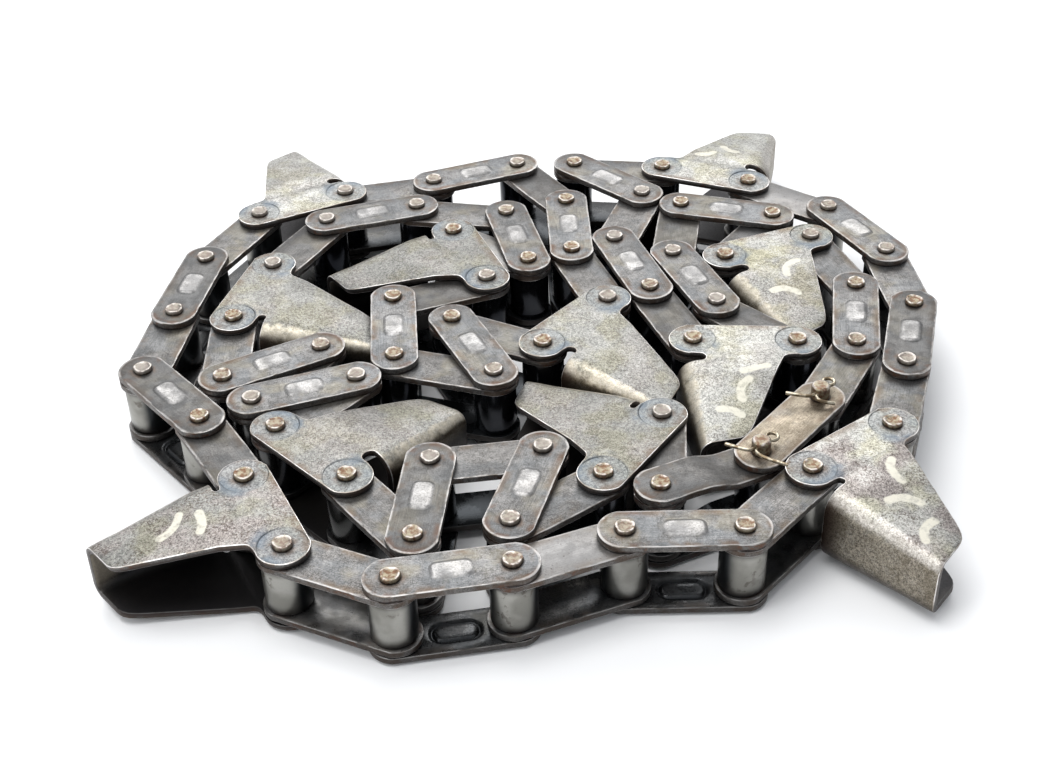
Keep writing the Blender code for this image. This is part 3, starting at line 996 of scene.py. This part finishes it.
def wall_steel(name):
    """The sheared sides of the plates: dull grey, with brown stretches and rust, darker low down
    and deep in the heap (grease, and painted shade), and painted shade towards the inner side of
    the lugs' sheet.
    """
    def colour(n):
        base = n.mix(grey(0.06, 0.06), grey(0.17, 0.05), n.speckle())
        base = n.mix(base, (0.07, 0.043, 0.027), n.mottle(10.0, 0.44, 0.6), 0.7)
        base = n.mix(base, RUST, n.mottle(9.0, 0.56, 0.66), n.mottle(1.8, 0.4, 0.6), 0.75)
        # Grease, and painted shade, low down and deep in the heap
        base = n.mix(base, GREASE_AND_SHADE, n.oiled_and_shaded(32.0, 27.0, 0.6), 0.9)
        # Painted shade towards the inner side of the lugs' sheet
        sheltered_shade = n.ramp(n.attribute("hollow"), 0.25, 0.8, 0.0, 0.9)
        return n.layer("seam_grime", n.mix(base, (0.03, 0.022, 0.02), sheltered_shade))

    return new_material(name, 0.75, 0.45, colour, (lambda n: n.mottle(0.9), 0.25, 0.15 * MM))


def roller_steel(name):
    """Rollers with painted light on the side that faces out of the heap, painted shade on the side
    that faces in and at both ends, and near black all round inside the heap: oil, and painted
    shade.
    """
    def colour(n):
        bright = n.mix((0.2, 0.196, 0.176), (0.31, 0.305, 0.28), n.mottle(18.0, 0.4, 0.6))
        bright = n.mix(bright, grey(0.16), n.mottle(0.6, 0.5, 0.7), 0.15)
        # Painted light on the side that faces out of the heap, painted shade on the side that faces
        # in
        base = n.mix((0.028, 0.03, 0.032), bright, n.ramp(n.attribute("wear_and_light"), 0.42, 0.84))
        marks, where = n.mottle(2.4, 0.52, 0.58), n.mottle(16.0, 0.54, 0.62)
        base = n.mix(base, (0.07, 0.055, 0.045), marks, where, 0.6)
        # Painted shade at both ends, where the rollers meet the plates
        base = n.mix(base, GREASE_AND_SHADE, n.ramp(n.height(), 12 * MM, 7.5 * MM, 0.0, 0.8))
        base = n.mix(base, GREASE_AND_SHADE, n.ramp(n.height(), 24 * MM, 27 * MM, 0.0, 0.6))
        # Near black deep in the heap: oil, and painted shade
        return n.mix(base, (0.018, 0.02, 0.026), n.group("oil_and_shade")["Inside"], 0.94)

    def roughness(n):
        return n.ramp(n.group("oil_and_shade")["Inside"], 0.0, 1.0, 0.34, 0.18)

    return new_material(name, 0.9, roughness, colour, (lambda n: n.mottle(2.0), 0.03, 0.1 * MM))


def pin_steel(name):
    """Riveted pin ends: tan and brown in the hammered middle, brighter round the rim: rubbed, and a
    painted highlight.
    """
    def colour(n):
        base = n.mix((0.15, 0.08, 0.045), (0.29, 0.25, 0.175), n.mottle(1.8, 0.38, 0.6))
        base = n.mix(base, (0.1, 0.07, 0.05), n.mottle(0.5, 0.5, 0.66), 0.4)
        base = n.mix(base, grey(0.23, 0.06), n.ramp(n.attribute("tone"), 0.3, 1.0, 0.0, 0.7))
        # The rim's bright ring: rubbed metal, and a painted highlight
        base = n.mix(base, grey(0.56, 0.08), n.attribute("wear_and_light"), n.mottle(2.2, 0.4, 0.58), 0.85)
        side = n.mix((0.035, 0.022, 0.015), (0.12, 0.085, 0.06), n.mottle(1.0))
        return n.mix(base, side, n.ramp(n.height(), (PIN_TOP - 1.0) * MM, (PIN_TOP - 1.7) * MM))

    return new_material(name, 0.8, 0.42, colour, (lambda n: n.mottle(1.0), 0.25, 0.2 * MM))


def tinted_rings(n, base):
    """The pressed rings about the lugs' pins: duller, blued on the side of the flange, brown on the
    tabs' outer rims, and with a painted shadow line along the ring's step."""
    link_map, out = n.group("link_map"), n.attribute("out")
    away, outward = link_map["Pin"], n.ramp(out, -1.0, 6.0)
    dull = n.mix((0.066, 0.072, 0.076), (0.29, 0.305, 0.305), n.speckle())
    base = n.mix(base, dull, n.ramp(away, PLATE_END + 0.2, COIN_RADIUS - 0.2, 0.0, 0.66))
    off_ring = n.math("ABSOLUTE", n.math("SUBTRACT", away, STEP_RADIUS))
    halo, arc = n.ramp(off_ring, 4.6, 0.6), n.ramp(off_ring, 0.7, 0.1)
    base = n.mix(base, BLUED, halo, n.mottle(9.0, 0.38, 0.56), outward, 0.68)
    inward, rim = n.ramp(out, 2.0, -5.0), n.ramp(link_map["Inset"], 5.0, 0.5)
    base = n.mix(base, (0.12, 0.075, 0.045), inward, n.mottle(7.0, 0.44, 0.58), rim, 0.6)
    # A painted shadow line along the step of the pressed ring
    return n.mix(base, (0.05, 0.058, 0.066), arc, n.mottle(6.0, 0.3, 0.6), outward, 0.5)


def bent_web(n, base):
    """The bright fold, worn and with a painted highlight, and below it the web: olive-brown, darker
    towards the bottom and deep in the heap as painted shade, and rusty black where it begins.
    """
    web, inside = n.attribute("web"), n.group("oil_and_shade")["Inside"]
    below = n.mix((0.05, 0.041, 0.029), (0.41, 0.365, 0.29), n.speckle())
    below = n.mix(below, (0.1, 0.078, 0.045), n.mottle(12.0, 0.42, 0.6), 0.45)
    # Painted shade: darker towards the bottom and deep in the heap
    below = n.mix(below, (0.035, 0.026, 0.02), n.ramp(n.height(), 16 * MM, 2 * MM, 0.0, 0.3))
    below = n.mix(below, (0.06, 0.042, 0.022), inside, 0.72)
    wander = n.ramp(n.mottle(3.0, 0.3, 0.7), 0.0, 1.0, -0.12, 0.12)
    base = n.mix(base, below, n.ramp(n.math("ADD", web, wander), 0.5, 1.0, 0.0, 0.95))
    fold = n.mix((0.27, 0.245, 0.215), (0.66, 0.63, 0.58), n.speckle())
    fold = n.mix(fold, (0.64, 0.56, 0.4), inside, 0.45)
    # Worn, and a painted highlight along the fold
    rubbed_and_lit = n.ramp(n.math("ADD", n.attribute("wear_and_light"), wander), 0.5, 1.05, 0.0, 0.88)
    base = n.mix(base, fold, rubbed_and_lit, n.mottle(7.0, 0.24, 0.5))
    start = n.times(n.ramp(web, 0.6, 1.0), n.ramp(n.attribute("out"), 25.0, 14.0))
    return n.mix(base, (0.026, 0.012, 0.008), start, 0.9)


LAYERS = {
    "pin_dirt_and_shadow": pin_dirt_and_shadow, "burnt_ends": burnt_ends, "rubbed_rim": rubbed_rim,
    "seam_grime": seam_grime, "tinted_rings": tinted_rings, "bent_web": bent_web,
}


def stroke_mask(n, u, v, turn, length, radius):
    """A brush stroke of white paint about (u, v) on the upper flange, in millimetres. It turns
    from the link's direction, and it is an arc of the given radius."""
    about = {
        "Vector": n.link_uv(), "Location": (u / MAP_UNIT, -v / MAP_UNIT, 0),
        "Rotation": (0, 0, math.radians(turn)), "Scale": (1 / MAP_UNIT,) * 3,
    }
    x, y, _ = n.split(n.add("Mapping", about, vector_type="TEXTURE")[0])
    from_hub = n.math("ADD", y, radius)
    along = n.times(n.math("ARCTAN2", x, from_hub), radius)
    past_end = n.math("SUBTRACT", n.math("ABSOLUTE", along), length / 2)
    past_end = n.math("MAXIMUM", past_end, 0.0)
    aside = n.math("SUBTRACT", n.length(x, from_hub), radius)
    ragged = n.times(n.noise(n.place(), 450.0), 1.4)
    away = n.math("ADD", n.length(past_end, aside), ragged)
    stroke = n.ramp(away, BRUSH / 2 + 1.1, BRUSH / 2 + 0.4)
    covered = n.ramp(n.noise(n.place(), 350.0), 0.3, 0.56, 0.4, 0.88)
    return n.times(stroke, n.ramp(n.height(), 24 * MM, 25 * MM), covered)


def lug_steel(number):
    """One lug's speckled sheet, with ochre and brown patches, and with brush marks on some."""
    pale, rusty = PALE_LUGS.get(number, LUG_PALE), number in RUSTY_LUGS
    dark, strokes = 0.23 * pale, BRUSH_MARKS.get(number, ())
    ochre_part = 0.85 if number in OCHRE_LUGS else 0.55
    lilac_part, spot_part = (0.95, 0.75) if rusty else (0.35, 0.45)

    def paint(n):
        marks = 0.0
        for stroke in strokes:
            marks = n.math("MAXIMUM", marks, stroke_mask(n, *stroke))
        return n.math("SUBTRACT", marks, n.attribute("hollow"), clamp=True)

    def colour(n):
        grain, hollow = n.speckle(), n.attribute("hollow")
        base = n.mix(olive(dark, 0.06), olive(pale, 0.09), grain)
        ochre = n.mix(olive(dark, 0.5), olive(pale, 0.32), grain)
        lilac = n.mix((0.05, 0.037, 0.034), (0.45, 0.41, 0.385), grain)
        base = n.mix(base, ochre, n.mottle(17.0, 0.44, 0.6), ochre_part)
        base = n.mix(base, lilac, n.mottle(23.0, 0.46, 0.6), lilac_part)
        worn = n.times(n.mottle(11.0, 0.48, 0.64), n.mottle(0.7, 0.4, 0.6))
        base = n.mix(base, olive(1.2 * pale, 0.07), worn, 0.5)
        spots = n.times(n.mottle(0.8, 0.5, 0.62), n.mottle(9.0, 0.4, 0.6))
        base = n.mix(base, (0.07, 0.048, 0.036), spots, spot_part)
        for layer in ("bent_web", "tinted_rings", "pin_dirt_and_shadow"):
            base = n.layer(layer, base)
        if strokes:
            base = n.mix(base, PAINT_WHITE, paint(n))
        # Painted light on the inner side of the sheet high up and towards the tip, and painted
        # shade, near black, on the rest of the inner side
        reach = n.math("ADD", n.height(), n.times(n.attribute("out"), 0.5 * MM))
        lit = n.times(hollow, n.ramp(reach, 32 * MM, 38 * MM, 0.0, 0.8))
        base = n.mix(base, (0.28, 0.245, 0.195), lit)
        base = n.mix(base, (0.01, 0.012, 0.017), n.math("SUBTRACT", hollow, lit, clamp=True))
        # Darker low down and deep in the heap: grease, and painted shade
        return n.mix(base, GREASE_AND_SHADE, n.oiled_and_shaded(29.0, 20.0, 0.7), 0.97)

    def metallic(n):
        return n.math("SUBTRACT", 0.75, n.times(paint(n), 0.65))

    def roughness(n):
        return n.ramp(n.mottle(0.85, 0.3, 0.7), 0.0, 1.0, 0.52, 0.4)

    return new_material(
        f"lug_{number:02d}_steel", metallic if strokes else 0.75, roughness, colour,
        (Nodes.speckle, 0.2, 0.1 * MM),
    )


def wire_steel(name):
    def colour(n):
        return n.mix((0.16, 0.12, 0.075), (0.5, 0.45, 0.35), n.mottle(3.0, 0.4, 0.62))

    return new_material(name, 0.9, 0.32, colour)


# Cotter pins

def cotter(name, pin, heading, legs, material):
    """One round wire: up a leg, through the pin, round the eye, back and out along the other."""
    way = Vector((math.cos(heading), math.sin(heading), 0))
    side = Vector((-way.y, way.x, 0))
    middle = Vector((pin.x / MM, pin.y / MM, COTTER_HEIGHT))
    start, end = [way * part for part in STRAIGHT_PART]
    half = side * WIRE_APART
    eye = middle + way * EYE_AWAY
    turns = [math.radians(160 - 40 * k) for k in range(9)]
    points = [middle + Vector(p) for p in reversed(legs[0])]
    points += [middle + start + half, middle + end + half]
    points += [eye + EYE_RADIUS * (way * math.cos(a) + side * math.sin(a)) for a in turns]
    points += [middle + end - half, middle + start - half]
    points += [middle + Vector(p) for p in legs[1]]
    curve = bpy.data.curves.new(name, "CURVE")
    curve.dimensions = "3D"
    curve.bevel_depth = WIRE_RADIUS * MM
    curve.bevel_resolution = 3
    curve.resolution_u = 4
    curve.use_fill_caps = True
    spline = curve.splines.new("NURBS")
    spline.points.add(len(points) - 1)
    for point, place in zip(spline.points, points):
        point.co = (*(place * MM), 1)
    spline.order_u = 3
    spline.use_endpoint_u = True
    holder = in_scene(name + "_route", curve)
    graph = bpy.context.evaluated_depsgraph_get()
    mesh = bpy.data.meshes.new_from_object(holder.evaluated_get(graph))
    bpy.data.objects.remove(holder)
    mesh.name = name
    mesh.materials.clear()
    mesh.materials.append(material)
    mesh.shade_smooth()
    return in_scene(name, mesh)


# Stage

def add_floor():
    bm = bmesh.new()
    bmesh.ops.create_grid(bm, x_segments=1, y_segments=1, size=4.0)
    mesh = bpy.data.meshes.new("floor")
    bm.to_mesh(mesh)
    bm.free()
    mesh.materials.append(new_material("floor_paper", 0.0, 0.9, grey(0.86)))
    in_scene("floor", mesh)


def area_light(name, place, size, power):
    """A panel that faces the middle of the heap."""
    light = bpy.data.lights.new(name, "AREA")
    light.shape = "RECTANGLE"
    light.size, light.size_y = size
    light.energy = power
    lamp = in_scene(name, light)
    lamp.location = place
    lamp.rotation_euler = (-Vector(place)).to_track_quat("-Z", "Y").to_euler()


def add_lights():
    world = bpy.data.worlds.new("studio")
    bpy.context.scene.world = world
    world.use_nodes = True
    backdrop = world.node_tree.nodes["Background"]
    backdrop.inputs["Color"].default_value = (0.92, 0.95, 1.0, 1)
    backdrop.inputs["Strength"].default_value = 0.62
    area_light("back_panel", (0.0, 1.1, 0.95), (1.8, 0.9), 16)
    area_light("top_panel", (-0.3, -0.1, 1.3), (0.9, 0.9), 12)
    area_light("left_panel", (-1.1, -0.7, 0.7), (0.6, 0.8), 5)


def add_camera():
    tilt, roll = math.radians(90 - CAMERA_TILT), math.radians(CAMERA_ROLL)
    turn = Matrix.Rotation(tilt, 4, "X") @ Matrix.Rotation(roll, 4, "Z")
    data = bpy.data.cameras.new("photo_camera")
    data.sensor_width = SENSOR
    data.lens = SENSOR * FOCAL_PIXELS / PHOTO_WIDTH
    data.clip_start = 0.01
    camera = in_scene("photo_camera", data)
    camera.matrix_world = Matrix.Translation(Vector(CAMERA_PLACE) * MM) @ turn
    bpy.context.scene.camera = camera


def main():
    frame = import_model()
    nodes = frame["nodes"]
    pins, outer_nodes = laid_pins(nodes)
    links = [Link(p, q) for p, q in zip(pins, pins[1:] + pins[:1])]

    for group in (mottle_group, speckle_group, oil_and_shade_group, link_map_group, grain_group):
        group()
    for name, paint in LAYERS.items():
        layer_group(name, paint)
    edge, wall = edge_steel("worn_rim", 0.12, 0.42), wall_steel("sheared_side")
    lug_edge = edge_steel("worn_lug_rim", 0.3, 0.8)
    roller, pin = roller_steel("roller_steel"), pin_steel("riveted_pin")
    outer_face = plate_steel("outer_plate_steel", OUTER_STEEL, 0.64)
    inner_face = plate_steel("inner_plate_steel", INNER_STEEL, 0.6)
    cover_face = plate_steel("cover_plate_steel", COVER_STEEL, 0.7)
    wire = wire_steel("cotter_wire")
    rest = (edge, wall, roller, pin)

    outer_plate = pressed_shape("outer_plate")
    plain_plate = kept(flat_plate(), "plain_plate")
    cranked = cranked_shape("cranked_plate")
    roller_mesh, bush_mesh = roller_shape("roller"), bush_shape("bush")
    pin_meshes = [pin_shape(f"pin_{k}", k + 1.0) for k in range(PIN_SEEDS)]
    long_pin = pin_shape("long_pin", 3.0, LONG_PIN_TOP, riveted=False)

    def plate_tone(number, chance):
        tones = [tone for tone, numbers in LINK_TONES.items() if number in numbers]
        return tones[0] if tones else chance.uniform(0.35, 0.6)

    def add_plates(piece, mesh, number, low, high, chance):
        link = links[number]
        piece.add(mesh, plate_place(link, low, chance, False), chance.random())
        piece.add(mesh, plate_place(link, high, chance), plate_tone(number, chance))

    def add_pins(piece, link, chance):
        for first in (True, False):
            piece.add(chance.choice(pin_meshes), pin_place(link, first, chance), chance.random())

    def add_roller(piece, link, first, chance):
        place = pin_place(link, first, chance)
        play = [chance.uniform(-ROLLER_PLAY, ROLLER_PLAY) * MM for _ in range(3)]
        rolled = piece.add(roller_mesh, Matrix.Translation(play) @ place, chance.random())
        piece.light_outer_side(rolled, place.translation)
        piece.add(bush_mesh, place, chance.random())

    for number, link in enumerate(links[2:], 2):
        chance = random.Random(number)
        if number % 2 == 0:
            piece = Piece(f"inner_link_{number:02d}")
            add_plates(piece, plain_plate, number, INNER_LOW, INNER_HIGH, chance)
            for first in (True, False):
                add_roller(piece, link, first, chance)
            piece.finish([node_for(nodes, number)], (inner_face, *rest))
        elif outer_nodes[number].startswith("lug_link"):
            face = lug_steel(number)
            piece = Piece(f"lug_{number:02d}")
            low_share = SAGGED_SHARE if number in SAGGED_LUGS else 1.0
            bent = lug_shape(piece.name, low_share, WIDE_SLOTS.get(number, LUG_START))
            piece.add(bent, link.matrix(), chance.random())
            add_pins(piece, link, chance)
            piece.finish([outer_nodes[number]], (face, lug_edge, wall, roller, pin))
        else:
            piece = Piece(f"outer_link_{number:02d}")
            add_plates(piece, outer_plate, number, OUTER_LOW, OUTER_HIGH, chance)
            add_pins(piece, link, chance)
            piece.finish([outer_nodes[number]], (outer_face, *rest))

    chance = random.Random(1)
    piece = Piece("connecting_link_base")
    piece.add(plain_plate, plate_place(links[0], OUTER_LOW, chance, False), 0.5)
    for first in (True, False):
        piece.add(long_pin, pin_place(links[0], first, chance), 0.4)
    piece.finish(["connecting_link"], (inner_face, *rest))
    piece = Piece("connecting_link_cover")
    piece.add(plain_plate, plate_place(links[0], OUTER_HIGH, chance), 0.5)
    piece.finish(["cover_plate"], (cover_face, *rest))
    for k, (number, heading, *legs) in enumerate(COTTER_LEGS):
        made = cotter(f"cotter_{k + 1}", pins[number], math.radians(heading), legs, wire)
        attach(made, "root")
        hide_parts(f"cotter_pin_{k + 1}")

    chance = random.Random(2)
    piece = Piece("offset_link_body")
    piece.add(cranked, plate_place(links[1], INNER_LOW, chance, False), 0.4)
    piece.add(cranked, plate_place(links[1], INNER_HIGH, chance), 0.8)
    add_roller(piece, links[1], True, chance)
    piece.add(pin_meshes[2], pin_place(links[1], False, chance), 0.3)
    piece.finish(["offset_link"], (inner_face, *rest))

    add_floor()
    add_lights()
    add_camera()
    bpy.context.scene.view_settings.view_transform = "Standard"


main()
